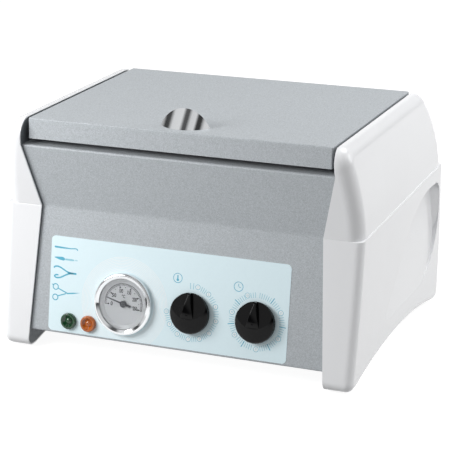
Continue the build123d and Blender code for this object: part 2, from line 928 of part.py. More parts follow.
def lid_handle():
    """Half shell that leans back over the lid, open behind, with two screw bosses."""
    front = block(-far, far, -far, handle_chord_y, lid_top_z, far)
    shell = (leaning_disc(0) - leaning_disc(handle_wall)) & front
    for side in (-1, 1):
        spot = Pos(handle_x + side * handle_screw_x, handle_boss_y)
        boss = along_z(spot * Circle(handle_boss_r), lid_top_z, lid_top_z + handle_boss_height)
        shell += boss & leaning_disc(handle_wall / 2)
        shell -= along_z(spot * Circle(handle_screw_r), 0, lid_top_z + handle_boss_height - stainless_t)
    return shell


def handle_screws():
    """Two pan-head screws up through the lid into the handle's bosses."""
    screws = []
    for side in (-1, 1):
        spot = Pos(handle_x + side * handle_screw_x, handle_boss_y)
        screw = along_z(spot * Circle(handle_screw_head_r), lid_under_z - handle_screw_head, lid_under_z)
        tip_z = lid_top_z + handle_boss_height - 2 * stainless_t
        screw += along_z(spot * Circle(handle_screw_r), lid_under_z, tip_z)
        screws.append(screw)
    return Compound(children=screws)


# Hinges

def hinge_thirds():
    """X ranges of one right-hand hinge's left, middle and right knuckles."""
    third = hinge_length / 3
    low = hinge_x - hinge_length / 2
    return [(low + i * third, low + (i + 1) * third) for i in range(3)]


def hinge_round(radius, x_low, x_high):
    """Cylinder about the hinge axis."""
    return along_x(Pos(hinge_y, hinge_axis_z) * Circle(radius), x_low, x_high)


def body_hinge_leaves():
    """Leaf on the rear ledge with the two outer knuckles, one on each side."""
    left, middle, right = hinge_thirds()
    leaf = block(left[0], right[1], ledge_y, ledge_y + hinge_leaf_t,
                 hinge_axis_z - hinge_body_leaf, hinge_axis_z)
    leaf -= hinge_round(hinge_knuckle_r + hinge_end_gap, middle[0] - hinge_end_gap, middle[1] + hinge_end_gap)
    for x_low, x_high in ((left[0], left[1] - hinge_end_gap), (right[0] + hinge_end_gap, right[1])):
        leaf += hinge_round(hinge_knuckle_r, x_low, x_high)
    leaf -= hinge_round(hinge_pin_r, 0, far)
    return Compound(children=[leaf, mirrored(leaf)])


def lid_hinge_leaves():
    """Leaf on the lid's rear skirt with the middle knuckle, one on each side."""
    left, middle, right = hinge_thirds()
    leaf = block(left[0], right[1], ledge_y, ledge_y + hinge_leaf_t,
                 hinge_axis_z, hinge_axis_z + hinge_lid_leaf)
    for x_low, x_high in ((0, left[1] + hinge_end_gap), (right[0] - hinge_end_gap, far)):
        leaf -= hinge_round(hinge_knuckle_r + hinge_end_gap, x_low, x_high)
    leaf += hinge_round(hinge_knuckle_r, middle[0], middle[1])
    leaf -= hinge_round(hinge_pin_r + hinge_running, 0, far)
    return Compound(children=[leaf, mirrored(leaf)])


def hinge_pins():
    """Pins that are tight in the body's knuckles and run in the lid's."""
    left, middle, right = hinge_thirds()
    pin = hinge_round(hinge_pin_r, left[0] - hinge_end_gap, right[1] + hinge_end_gap)
    return Compound(children=[pin, mirrored(pin)])


# Temperature gauge

def ring(outer_r, inner_r, z_low, z_high):
    """Round sleeve about Z."""
    return along_z(Circle(outer_r) - Circle(inner_r), z_low, z_high)


def disc(radius, z_low, z_high):
    """Round disc or bar about Z."""
    return along_z(Circle(radius), z_low, z_high)


dial_rim_z = dial_z + dial_t + dial_rise
glass_z = dial_rim_z
glass_r = case_r + case_wall / 2


def gauge_case():
    """Cup behind the panel whose wall carries the dial."""
    cup = disc(case_r, -case_depth, dial_rim_z - dial_t)
    return cup - disc(case_r - case_wall, case_wall - case_depth, far)


def gauge_clamp():
    """Ring that holds the case against the back of the panel."""
    return ring(case_r + clamp_width, case_r, -sheet_t - clamp_height, -sheet_t)


def gauge_bezel():
    """Polished ring over the edge of the glass, with a rounded outer edge."""
    bore_r = glass_r + arbor_running
    lip_r = glass_r - bezel_lip
    top_z = label_t + bezel_height
    bezel = turned([(lip_r, glass_z + glass_t), (bore_r, glass_z + glass_t), (bore_r, label_t),
                    (bezel_r, label_t), (bezel_r, top_z), (bezel_r - bezel_crown, top_z)])
    outer_edge = bezel.edges().filter_by(GeomType.CIRCLE).sort_by(lambda edge: edge.radius + edge.center().Z)[-1]
    return fillet(outer_edge, bezel_round)


def gauge_dial():
    """Dished dial: a flat face inside a raised conical rim."""
    rim_r = case_r - case_wall
    hole_r = arbor_r + arbor_running
    return turned([(hole_r, dial_z), (dial_r, dial_z), (rim_r, dial_rim_z - dial_t),
                   (glass_r, dial_rim_z - dial_t), (glass_r, dial_rim_z), (rim_r, dial_rim_z),
                   (dial_r, dial_z + dial_t), (hole_r, dial_z + dial_t)])


def gauge_glass():
    """Flat glass on the dial's rim."""
    return disc(glass_r, glass_z, glass_z + glass_t)


def gauge_movement():
    """Coil housing on the back of the case, with the arbor's bearing."""
    drum = disc(movement_r, case_wall - case_depth, dial_z)
    return drum - disc(arbor_r + arbor_running, needle_z - arbor_length - arbor_running, far)


def gauge_needle():
    """Pointer with its tail, hub and arbor, at the reading of a cool chamber."""
    pointer = polygon((needle_reach, needle_tip_width / 2), (needle_reach, -needle_tip_width / 2),
                      (0, -needle_root_width / 2), (0, needle_root_width / 2))
    tail = Pos(-needle_tail / 2, 0) * Rectangle(needle_tail, needle_tail_width)
    hub = disc(needle_hub_r, needle_z, needle_z + needle_hub_height)
    blade = Rot(0, 0, needle_reading) * along_z(pointer + tail, needle_z, needle_z + needle_t)
    return blade + hub + disc(arbor_r, needle_z - arbor_length, needle_z)


# Knobs, spindles and switches

def knob():
    """Domed drum on a neck, with two scoops that leave a pointed ridge, standing on Z = 0."""
    dome_r = knob_r - knob_bevel
    drum = turned([(0, 0), (knob_neck_r, 0), (knob_neck_r, knob_neck), (knob_r, knob_neck),
                   (knob_r - knob_draft, knob_shoulder - knob_bevel), (dome_r, knob_shoulder),
                   (0, knob_shoulder)])
    drum += cap(dome_r, knob_dome, knob_shoulder)
    fall = Plane(origin=(0, scoop_start_y, scoop_start_z), x_dir=(1, 0, 0),
                 z_dir=(0, sin(radians(scoop_fall)), cos(radians(scoop_fall))))
    scooped = drum - extrude(fall * Rectangle(far, far), amount=knob_r)
    plan = polygon((-ridge_tip, knob_r), (ridge_tip, knob_r), (ridge_half, scoop_start_y),
                   (-ridge_half, scoop_start_y))
    ridge = drum & extrude(plan, amount=knob_shoulder + knob_dome)
    top = ridge.faces().sort_by(Axis.Z)[-1]
    ridge = fillet(top.edges().sort_by(SortBy.LENGTH)[-2:], ridge_round)
    body = scooped + ridge
    body -= disc(knob_socket_r, 0, knob_socket_depth)
    return body - disc(spindle_r, 0, knob_socket_depth + spindle_grip)


knob_z = label_t + knob_lift
bush_top_z = label_t + bush_height
spindle_top_z = knob_z + knob_socket_depth + spindle_grip
spindle_end_z = -sheet_t - spindle_tail


def spindle():
    """Spindle from the switch to the bottom of the knob's bore."""
    return disc(spindle_r, spindle_end_z, spindle_top_z)


def switch(width, length, depth):
    """Switch body against the back of the panel, with a bush for its spindle."""
    body = extrude(RectangleRounded(width, length, switch_round), amount=-depth)
    body = Pos(0, 0, -sheet_t) * body + disc(bush_r, -sheet_t, bush_top_z)
    return body - disc(spindle_r + spindle_running, spindle_end_z - spindle_running, far)


def switch_nut():
    """Thin hexagon nut on the bush, under the knob."""
    hexagon = RegularPolygon(nut_across / 2, 6, major_radius=False)
    return along_z(hexagon - Circle(bush_r), label_t, label_t + nut_t)


def capillary(index, x, up, exit_z):
    """Thin tube from the back of a control up to its bulb under the chamber."""
    start = panel.from_local_coords(Vector(x, up, exit_z))
    inward = panel.from_local_coords(Vector(x, up, exit_z - capillary_bend))
    bulb_spot = (bulb_x[index], rise_y, bulb_z)
    path = FilletPolyline((start.X, start.Y, start.Z), (inward.X, inward.Y, inward.Z),
                          (inward.X, rise_y, inward.Z), (bulb_x[index], rise_y, capillary_turn_z),
                          bulb_spot, (bulb_x[index], bulb_front_y, bulb_z), radius=capillary_bend)
    bulb = along_y(Pos(bulb_x[index], bulb_z) * Circle(bulb_r), bulb_front_y, bulb_front_y + bulb_length)
    return round_tube(path, capillary_r) + bulb


# Lamps

def lamp_lens():
    """Moulded lens: a rounded rim round a cup with a low dome in it, on a neck."""
    top_z = label_t + lamp_height
    cup_z = label_t + lamp_cup_floor
    lens = disc(lamp_r, label_t, top_z)
    lens = fillet(lens.edges().sort_by(Axis.Z)[-1], lamp_rim_round)
    lens -= turned([(0, cup_z), (lamp_dome_r, cup_z), (lamp_cup_r, top_z), (0, top_z)])
    lens += cap(lamp_dome_r, lamp_dome, cup_z)
    return lens + disc(lamp_neck_r, -lamp_neck, label_t)


def lamp_body():
    """Holder behind the panel that the lens' neck snaps into."""
    body = disc(lamp_body_r, -sheet_t - lamp_body_depth, -sheet_t)
    return body - disc(lamp_neck_r, -lamp_neck, far)


# Electrical pieces at the back

def power_inlet():
    """Flush inlet: flange, body through the rear panel and an open mouth."""
    flange = Pos(inlet_x, inlet_z) * RectangleRounded(inlet_flange_w, inlet_flange_h, inlet_flange_h / 4)
    body = Pos(inlet_x, inlet_z) * Rectangle(inlet_body_w, inlet_body_h)
    mouth = Pos(inlet_x, inlet_z) * RectangleRounded(inlet_mouth_w, inlet_mouth_h, inlet_mouth_h / 8)
    front_face = rear_y + inlet_flange_t
    inlet = along_y(flange, rear_y, front_face) + along_y(body, rear_y - inlet_body_depth, rear_y)
    inlet -= along_y(mouth, front_face - inlet_mouth_depth, front_face)
    for side in (-1, 1):
        screw = Pos(inlet_x + side * inlet_screw_pitch / 2, inlet_z) * Circle(inlet_screw_r)
        inlet -= along_y(screw, rear_y, front_face)
    return inlet


def inlet_blades():
    """Three contact blades standing in the inlet's mouth."""
    root_y = rear_y + inlet_flange_t - inlet_mouth_depth
    blades = []
    for step in (-1, 0, 1):
        shift_z = blade_h / 3 if step == 0 else -blade_h / 3
        spot = Pos(inlet_x + step * blade_pitch, inlet_z - shift_z)
        blades.append(along_y(spot * Rectangle(blade_w, blade_h), root_y, root_y + blade_length))
    return Compound(children=blades)


def terminal_block():
    """Mains terminal block on the base plate, with its wire holes."""
    base_z = hem_z + 2 * sheet_t
    body = block(block_x - block_length / 2, block_x + block_length / 2,
                 block_y - block_width / 2, block_y + block_width / 2, base_z, base_z + block_height)
    for step in (-1, 0, 1):
        way = Pos(block_x + step * block_length / 3, base_z + block_height / 2) * Circle(block_height / 5)
        body -= along_y(way, 0, far)
    return body


# Rubber feet

def foot_spots():
    """X and Y of the four feet."""
    return [(side * foot_x, y) for side in (-1, 1) for y in (foot_front_y, foot_rear_y)]


def rubber_feet():
    """Pads with stems pressed into the covers' seats."""
    feet = []
    for x, y in foot_spots():
        pad = along_z(Pos(x, y) * Circle(foot_pad_r), -foot_pad_height, 0)
        pad = fillet(pad.edges().sort_by(Axis.Z)[0], foot_pad_height / 3)
        feet.append(pad + along_z(Pos(x, y) * Circle(foot_stem_r), 0, foot_stem))
    return Compound(children=feet)


# The whole object

parts = {}
parts["right_cover"] = side_cover()
parts["left_cover"] = mirrored(parts["right_cover"])
parts["right_side_sheet"] = side_sheet()
parts["left_side_sheet"] = mirrored(parts["right_side_sheet"])
parts["front_panel"] = front_panel()
parts["control_label"] = control_label()
parts["rear_panel"] = rear_panel()
parts["base_plate"] = base_plate()
parts["top_deck"] = top_deck()
parts["chamber"] = chamber()
parts["chamber_gasket"] = chamber_gasket()
parts["tray"] = tray()
parts["tray_handles"] = tray_handles()
parts["heater"] = heater()
parts["heater_clips"] = heater_clips()
parts["chamber_wool"] = chamber_wool()
parts["heat_shield"] = heat_shield()
parts["limit_cutout"] = limit_cutout()
parts["lid_skin"] = lid_skin()
parts["lid_liner"] = lid_liner()
parts["lid_wool"] = lid_wool()
parts["lid_handle"] = lid_handle()
parts["handle_screws"] = handle_screws()
parts["body_hinge_leaves"] = body_hinge_leaves()
parts["lid_hinge_leaves"] = lid_hinge_leaves()
parts["hinge_pins"] = hinge_pins()
parts["gauge_case"] = on_panel(gauge_x, gauge_up, gauge_case())
parts["gauge_clamp"] = on_panel(gauge_x, gauge_up, gauge_clamp())
parts["gauge_bezel"] = on_panel(gauge_x, gauge_up, gauge_bezel())
parts["gauge_dial"] = on_panel(gauge_x, gauge_up, gauge_dial())
parts["gauge_glass"] = on_panel(gauge_x, gauge_up, gauge_glass())
parts["gauge_movement"] = on_panel(gauge_x, gauge_up, gauge_movement())
parts["gauge_needle"] = on_panel(gauge_x, gauge_up, gauge_needle())
parts["gauge_capillary"] = capillary(0, gauge_x, gauge_up, -case_depth)
parts["heat_capillary"] = capillary(1, heat_x, knob_up, -sheet_t - heat_switch_depth)
parts["heat_switch"] = on_panel(heat_x, knob_up, switch(heat_switch_width, heat_switch_length, heat_switch_depth))
parts["timer"] = on_panel(timer_x, knob_up, switch(timer_width, timer_length, timer_depth))
for name, x in (("heat", heat_x), ("timer", timer_x)):
    parts[name + "_nut"] = on_panel(x, knob_up, switch_nut())
    parts[name + "_spindle"] = on_panel(x, knob_up, spindle())
    parts[name + "_knob"] = on_panel(x, knob_up, Pos(0, 0, knob_z) * knob())
for name, x in (("green", green_x), ("amber", amber_x)):
    parts[name + "_lens"] = on_panel(x, lamp_up, lamp_lens())
    parts[name + "_lamp"] = on_panel(x, lamp_up, lamp_body())
parts["power_inlet"] = power_inlet()
parts["inlet_blades"] = inlet_blades()
parts["terminal_block"] = terminal_block()
parts["rubber_feet"] = rubber_feet()

# Move the origin to the middle of the footprint, on the ground
boxes = [shape.bounding_box() for shape in parts.values()]
middle_y = (min(box.min.Y for box in boxes) + max(box.max.Y for box in boxes)) / 2
home = Pos(0, -middle_y, foot_pad_height)

os.makedirs("parts", exist_ok=True)
for name, shape in parts.items():
    export_step(home * shape, f"parts/{name}.step")

print("origin moved by", -middle_y, foot_pad_height)
print("hinge axis", hinge_y - middle_y, hinge_axis_z + foot_pad_height)
for name, x, up in (("gauge", gauge_x, gauge_up), ("heat", heat_x, knob_up), ("timer", timer_x, knob_up)):
    spot = panel.from_local_coords(Vector(x, up, 0))
    print(name, spot.X, spot.Y - middle_y, spot.Z + foot_pad_height)
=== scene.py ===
import json
from math import acos, cos, degrees, hypot, radians, sin

import bmesh
import bpy
from mathutils import Matrix, Vector


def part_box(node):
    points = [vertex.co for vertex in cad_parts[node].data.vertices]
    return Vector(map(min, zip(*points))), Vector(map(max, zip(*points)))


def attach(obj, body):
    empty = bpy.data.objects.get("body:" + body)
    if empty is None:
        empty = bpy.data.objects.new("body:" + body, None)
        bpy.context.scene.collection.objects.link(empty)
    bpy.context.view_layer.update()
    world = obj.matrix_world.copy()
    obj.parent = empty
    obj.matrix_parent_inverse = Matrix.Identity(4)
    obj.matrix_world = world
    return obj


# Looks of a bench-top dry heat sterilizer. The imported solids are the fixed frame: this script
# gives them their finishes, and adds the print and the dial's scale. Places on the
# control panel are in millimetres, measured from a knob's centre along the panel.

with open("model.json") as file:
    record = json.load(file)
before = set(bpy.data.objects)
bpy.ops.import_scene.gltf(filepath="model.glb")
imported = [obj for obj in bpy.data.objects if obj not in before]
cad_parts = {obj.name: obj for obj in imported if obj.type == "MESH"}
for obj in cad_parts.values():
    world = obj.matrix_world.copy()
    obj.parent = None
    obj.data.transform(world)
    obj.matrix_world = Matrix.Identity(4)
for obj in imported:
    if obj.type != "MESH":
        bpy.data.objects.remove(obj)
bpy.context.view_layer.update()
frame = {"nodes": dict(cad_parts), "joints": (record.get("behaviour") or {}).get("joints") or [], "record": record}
nodes = frame["nodes"]
joints = {joint["name"]: joint for joint in frame["joints"]}
MM = 0.001

# The control panel's plane, from the joints that stand on it
panel_out = -Vector(joints["heat_dial"]["axis"]).normalized()
panel_right = Vector((1, 0, 0))
panel_up = panel_out.cross(panel_right).normalized()
heat_centre = Vector(joints["heat_dial"]["pos_m"])
timer_centre = Vector(joints["timer_dial"]["pos_m"])
gauge_centre = Vector(joints["gauge_pointer"]["pos_m"])
label_thickness = 0.3
ink_thickness = 0.05
weld_distance = 0.0005
edge_angle = 30


def srgb(red, green, blue, alpha=1.0):
    """Linear colour from 0 to 255 display values."""
    linear = []
    for value in (red, green, blue):
        share = value / 255
        linear.append(share / 12.92 if share <= 0.04045 else ((share + 0.055) / 1.055) ** 2.4)
    return (*linear, alpha)


# Materials

class Finish:
    """One procedural material, built node by node in object space, in metres."""

    def __init__(self, name, color, roughness, metallic=0.0, **sockets):
        self.material = bpy.data.materials.new(name)
        self.material.use_nodes = True
        self.tree = self.material.node_tree
        self.shader = self.tree.nodes["Principled BSDF"]
        self.shader.inputs["Base Color"].default_value = color
        self.shader.inputs["Roughness"].default_value = roughness
        self.shader.inputs["Metallic"].default_value = metallic
        for socket, value in sockets.items():
            self.shader.inputs[socket.replace("_", " ")].default_value = value
        self.space = self.tree.nodes.new("ShaderNodeTexCoord").outputs["Object"]

    def node(self, kind, **values):
        """New node with its settings."""
        made = self.tree.nodes.new(kind)
        for key, value in values.items():
            setattr(made, key, value)
        return made

    def link(self, output, target):
        self.tree.links.new(output, target)

    def stretched(self, x, y, z):
        """Object space with its axes scaled, for brushed and drawn grain."""
        mapping = self.node("ShaderNodeMapping")
        mapping.inputs["Scale"].default_value = (x, y, z)
        self.link(self.space, mapping.inputs["Vector"])
        return mapping.outputs["Vector"]

    def noise(self, scale, detail=2.0, roughness=0.5, space=None):
        """Noise value output."""
        texture = self.node("ShaderNodeTexNoise")
        texture.inputs["Scale"].default_value = scale
        texture.inputs["Detail"].default_value = detail
        texture.inputs["Roughness"].default_value = roughness
        self.link(space or self.space, texture.inputs["Vector"])
        return texture.outputs["Fac"]

    def cells(self, scale):
        """Random grey for each small cell, as in metallic flake."""
        texture = self.node("ShaderNodeTexVoronoi")
        texture.inputs["Scale"].default_value = scale
        self.link(self.space, texture.inputs["Vector"])
        grey = self.node("ShaderNodeRGBToBW")
        self.link(texture.outputs["Color"], grey.inputs["Color"])
        return grey.outputs["Val"]

    def ramp(self, value, stops):
        """Colour output of a ramp with (place, colour) stops."""
        ramp = self.node("ShaderNodeValToRGB")
        elements = ramp.color_ramp.elements
        while len(elements) < len(stops):
            elements.new(0.5)
        for element, (place, color) in zip(elements, stops):
            element.position = place
            element.color = color
        self.link(value, ramp.inputs["Fac"])
        return ramp.outputs["Color"]

    def spread(self, value, low, high):
        """Value remapped from the middle of a noise's range."""
        remap = self.node("ShaderNodeMapRange")
        remap.inputs["From Min"].default_value = 0.3
        remap.inputs["From Max"].default_value = 0.7
        remap.inputs["To Min"].default_value = low
        remap.inputs["To Max"].default_value = high
        self.link(value, remap.inputs["Value"])
        return remap.outputs["Result"]

    def color(self, value, stops):
        """Base colour from a ramp."""
        self.link(self.ramp(value, stops), self.shader.inputs["Base Color"])
        return self

    def gloss(self, value, low, high):
        """Roughness between two values."""
        self.link(self.spread(value, low, high), self.shader.inputs["Roughness"])
        return self

    def relief(self, value, depth_mm, strength=1.0):
        """Bump of a real depth, chained after what is there."""
        bump = self.node("ShaderNodeBump")
        bump.inputs["Distance"].default_value = depth_mm * MM
        bump.inputs["Strength"].default_value = strength
        self.link(value, bump.inputs["Height"])
        target = self.shader.inputs["Normal"]
        if target.is_linked:
            self.link(target.links[0].from_socket, bump.inputs["Normal"])
        self.link(bump.outputs["Normal"], target)
        return self


def shades(color, spread):
    """Two stops, darker and lighter than a colour by a share."""
    dark = tuple(channel * (1 - spread) for channel in color[:3])
    light = tuple(min(1.0, channel * (1 + spread)) for channel in color[:3])
    return [(0.3, (*dark, 1)), (0.7, (*light, 1))]


def cover_white():
    """Glossy moulded white, even, with a faint orange peel."""
    white = srgb(238, 239, 241)
    finish = Finish("moulded_white", white, 0.24, Coat_Weight=0.2, Coat_Roughness=0.12)
    finish.color(finish.noise(9, 2), shades(white, 0.008))
    finish.gloss(finish.noise(30, 2), 0.22, 0.26)
    finish.relief(finish.noise(120, 1), 0.004)
    return finish.material


def silver_paint():
    """Silver-grey metallic paint with a speckle and a light texture."""
    silver = srgb(177, 182, 186)
    finish = Finish("silver_paint", silver, 0.55, metallic=0.2, Specular_IOR_Level=0.3)
    grain = finish.node("ShaderNodeMix", data_type="FLOAT")
    grain.inputs[0].default_value = 0.5
    finish.link(finish.cells(1500), grain.inputs[2])
    finish.link(finish.noise(900, 3, 0.7), grain.inputs[3])
    finish.color(grain.outputs[0], shades(silver, 0.16))
    finish.gloss(finish.noise(500, 2), 0.5, 0.6)
    finish.relief(finish.noise(700, 3), 0.03)
    return finish.material


def side_grey():
    """Grey powder coat, painted dark grey as shade on the inner side sheets."""
    # painted shade: the sheet is coloured darker than its own grey, for the shade on the inner side faces
    grey = srgb(104, 109, 113)
    finish = Finish("side_grey", grey, 0.5, metallic=0.2)
    finish.color(finish.noise(700, 3), shades(grey, 0.1))
    finish.gloss(finish.noise(300, 2), 0.4, 0.6)
    finish.relief(finish.noise(900, 2), 0.02)
    return finish.material


def label_film():
    """Pale blue printed film with a satin surface."""
    blue = srgb(229, 248, 254)
    finish = Finish("label_film", blue, 0.38, Specular_IOR_Level=0.4)
    finish.color(finish.noise(350, 4, 0.7), shades(blue, 0.01))
    finish.gloss(finish.noise(200, 2), 0.36, 0.46)
    finish.relief(finish.noise(1400, 2), 0.004)
    return finish.material


def ink(name, color):
    """Screen-printed ink."""
    finish = Finish(name, color, 0.45)
    finish.color(finish.noise(1800, 3), shades(color, 0.05))
    finish.gloss(finish.noise(800, 2), 0.4, 0.55)
    return finish.material


def chrome():
    """Polished chrome plate with faint polishing marks."""
    finish = Finish("chrome_plate", srgb(226, 228, 230), 0.07, metallic=1.0)
    finish.gloss(finish.noise(60, 4), 0.05, 0.12)
    finish.relief(finish.noise(400, 2, space=finish.stretched(1, 1, 6)), 0.002)
    return finish.material


def brushed(name, color, across, rough=(0.24, 0.4)):
    """Drawn or brushed steel with its grain along one axis."""
    finish = Finish(name, color, 0.3, metallic=1.0)
    grain = finish.noise(900, 4, 0.6, space=finish.stretched(*across))
    finish.color(grain, shades(color, 0.1))
    finish.gloss(grain, *rough)
    finish.relief(grain, 0.01)
    return finish.material


def satin_chrome():
    """Dull chrome on the stamped hinge leaves."""
    grey = srgb(150, 152, 154)
    finish = Finish("satin_chrome", grey, 0.4, metallic=1.0)
    grain = finish.noise(700, 3, space=finish.stretched(1, 1, 0.3))
    finish.color(grain, shades(grey, 0.06))
    finish.gloss(grain, 0.36, 0.46)
    finish.relief(grain, 0.004)
    return finish.material


def heat_tinted():
    """Heater sheath, browned by heat."""
    finish = Finish("heater_sheath", srgb(120, 104, 90), 0.45, metallic=0.9)
    brown, straw, blue = srgb(86, 74, 70), srgb(128, 108, 86), srgb(96, 98, 112)
    finish.color(finish.noise(35, 4), [(0.3, brown), (0.55, straw), (0.75, blue)])
    finish.relief(finish.noise(1500, 2), 0.01)
    return finish.material


def wool():
    """Pressed mineral wool."""
    finish = Finish("mineral_wool", srgb(196, 182, 140), 0.95)
    fibres = finish.noise(420, 6, 0.75, space=finish.stretched(1, 1, 4))
    finish.color(fibres, [(0.3, srgb(168, 150, 104)), (0.7, srgb(222, 210, 172))])
    finish.relief(fibres, 0.8)
    return finish.material


def moulded(name, color, rough, grain_scale=900, depth=0.01, specular=0.5):
    """Moulded plastic or rubber with a fine skin."""
    finish = Finish(name, color, sum(rough) / 2, Specular_IOR_Level=specular)
    finish.color(finish.noise(60, 3), shades(color, 0.08))
    finish.gloss(finish.noise(grain_scale / 3, 2), *rough)
    finish.relief(finish.noise(grain_scale, 2), depth)
    return finish.material


def metal(name, color, rough):
    """Turned metal with tarnish clouds."""
    finish = Finish(name, color, sum(rough) / 2, metallic=1.0)
    finish.color(finish.noise(120, 4), shades(color, 0.12))
    finish.gloss(finish.noise(200, 3), *rough)
    finish.relief(finish.noise(1800, 2), 0.004)
    return finish.material


def clear_glass():
    """Flat gauge glass."""
    finish = Finish("gauge_glass", (1, 1, 1, 1), 0.0, Transmission_Weight=1.0, IOR=1.16)
    finish.relief(finish.noise(30, 1), 0.002)
    return finish.material


def lens_plastic(name, deep, bright):
    """Translucent coloured lens, brighter where it is thin."""
    finish = Finish(name, deep, 0.12, Transmission_Weight=0.1, IOR=1.49, Coat_Weight=0.4,
                    Coat_Roughness=0.05)
    finish.color(finish.noise(220, 3), [(0.3, deep), (0.75, bright)])
    finish.relief(finish.noise(500, 2), 0.03)
    return finish.material


def dial_face():
    """White dial plate, coloured pale grey as painted shade from the bezel."""
    # painted shade: the grey stands for the bezel's shade on a white plate
    grey = srgb(166, 169, 172)
    finish = Finish("dial_face", grey, 0.4)
    finish.color(finish.noise(200, 3), shades(grey, 0.015))
    finish.relief(finish.noise(900, 2), 0.004)
    return finish.material


materials = {
    "cover_white": cover_white(),
    "side_grey": side_grey(),
    "panel_silver": silver_paint(),
    "label_print": label_film(),
    "stainless": brushed("stainless", srgb(168, 170, 172), (0.2, 1, 1), (0.3, 0.42)),
    "plated_steel": brushed("plated_steel", srgb(146, 148, 149), (1, 0.3, 1), (0.42, 0.55)),
    "chrome": chrome(),
    "silicone": moulded("silicone", srgb(158, 62, 46), (0.5, 0.65), 1200, 0.02),
    "mineral_wool": wool(),
    "heater_sheath": heat_tinted(),
    "copper": metal("copper", srgb(190, 118, 86), (0.25, 0.4)),
    "dial_white": dial_face(),
    "needle_grey": moulded("needle_grey", srgb(58, 61, 66), (0.35, 0.5)),
    "clear_glass": clear_glass(),
    "knob_black": moulded("knob_black", srgb(4, 4, 5), (0.1, 0.14), 500, 0.003, specular=0.18),
    "black_plastic": moulded("black_plastic", srgb(34, 34, 36), (0.4, 0.55)),
    "green_lens": lens_plastic("green_lens", srgb(8, 50, 26), srgb(20, 84, 44)),
    "amber_lens": lens_plastic("amber_lens", srgb(158, 76, 16), srgb(206, 112, 34)),
    "brass": metal("brass", srgb(198, 172, 108), (0.25, 0.4)),
    "foot_rubber": moulded("foot_rubber", srgb(32, 32, 33), (0.7, 0.85), 1500, 0.03),
    "ceramic": moulded("ceramic", srgb(214, 208, 194), (0.2, 0.35)),
}

# Every solid gets its slot's finish; the hinge leaves get a duller chrome than the handle
slot_of = {part["node"]: part["material_slot"] for part in frame["record"]["subparts"]}
for name, node in nodes.items():
    node.data.materials.clear()
    node.data.materials.append(materials[slot_of[name]])
hinge_finish = satin_chrome()
for name in ("body_hinge_leaves", "lid_hinge_leaves"):
    nodes[name].data.materials[0] = hinge_finish

ink_blue = ink("ink_blue", srgb(88, 180, 206))
ink_pale = ink("ink_pale", srgb(150, 206, 222))
ink_white = ink("ink_white", srgb(246, 252, 255))
ink_black = ink("ink_black", srgb(16, 16, 18))


# Smooth shading on the solids, with their real edges kept

def smooth(mesh, angle):
    """Shade smooth where faces meet at less than an angle."""
    mesh.polygons.foreach_set("use_smooth", [True] * len(mesh.polygons))
    mesh.set_sharp_from_angle(angle=radians(angle))


for node in nodes.values():
    smooth(node.data, edge_angle)


# Flat print on the panel and the dial

def circle(radius, x=0.0, up=0.0, steps=48, start=0.0, sweep=360.0):
    """Points of a circle or of an arc, clockwise from straight up."""
    count = steps if sweep >= 360 else steps + 1
    angles = [radians(start + sweep * i / steps) for i in range(count)]
    return [(x + radius * sin(a), up + radius * cos(a)) for a in angles]


def ring(radius, width, x=0.0, up=0.0, steps=48):
    """Two outlines that make a thin ring."""
    outer = circle(radius + width / 2, x, up, steps)
    inner = circle(radius - width / 2, x, up, steps)
    return [outer, inner[::-1]]


def stroke(points, width):
    """Outline of a line of even width along points, with square ends."""
    left, right = [], []
    for i, (x, up) in enumerate(points):
        before = points[max(i - 1, 0)]
        after = points[min(i + 1, len(points) - 1)]
        dx, dup = after[0] - before[0], after[1] - before[1]
        length = hypot(dx, dup)
        nx, nup = -dup / length * width / 2, dx / length * width / 2
        left.append((x + nx, up + nup))
        right.append((x - nx, up - nup))
    return left + right[::-1]


def tick(angle, inner, outer, width, x=0.0, up=0.0):
    """Outline of a radial mark at an angle clockwise from straight up."""
    a = radians(angle)
    points = [(x + r * sin(a), up + r * cos(a)) for r in (inner, outer)]
    return stroke(points, width)


def figure_outlines(text, height, x, up, narrow=1.0, bold=0.0):
    """A number as a mesh, centred on a place, in the plane of the print."""
    curve = bpy.data.curves.new("figure", "FONT")
    curve.body = text
    curve.size = height
    curve.align_x = "CENTER"
    curve.align_y = "CENTER"
    curve.extrude = ink_thickness / 2
    curve.offset = bold
    curve.resolution_u = 4
    holder = bpy.data.objects.new("figure", curve)
    mesh = bpy.data.meshes.new_from_object(holder)
    mesh.transform(Matrix.Translation((x, up, 0)) @ Matrix.Diagonal((narrow, 1, 1, 1)))
    bpy.data.objects.remove(holder)
    return mesh


def printed(name, outlines, material, origin, height, figures=(), body="base"):
    """One thin printed piece on the panel: filled outlines and numbers, height above the panel."""
    curve = bpy.data.curves.new(name, "CURVE")
    curve.dimensions = "2D"
    curve.fill_mode = "BOTH"
    curve.extrude = ink_thickness / 2
    for outline in outlines:
        spline = curve.splines.new("POLY")
        spline.points.add(len(outline) - 1)
        for point, (x, up) in zip(spline.points, outline):
            point.co = (x, up, 0, 1)
        spline.use_cyclic_u = True
    holder = bpy.data.objects.new(name + "_outline", curve)
    flat = bpy.data.meshes.new_from_object(holder)
    bpy.data.objects.remove(holder)
    work = bmesh.new()
    work.from_mesh(flat)
    for figure in figures:
        work.from_mesh(figure_outlines(*figure))
    bmesh.ops.remove_doubles(work, verts=work.verts, dist=weld_distance)
    place = Matrix((
        (*[v * MM for v in (panel_right.x, panel_up.x, panel_out.x)], origin.x),
        (*[v * MM for v in (panel_right.y, panel_up.y, panel_out.y)], origin.y),
        (*[v * MM for v in (panel_right.z, panel_up.z, panel_out.z)], origin.z),
        (0, 0, 0, 1),
    ))
    lift = Matrix.Translation((0, 0, height + ink_thickness / 2))
    work.transform(place @ lift)
    mesh = bpy.data.meshes.new(name)
    work.to_mesh(mesh)
    work.free()
    mesh.materials.append(material)
    piece = bpy.data.objects.new(name, mesh)
    bpy.context.scene.collection.objects.link(piece)
    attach(piece, body)
    return piece


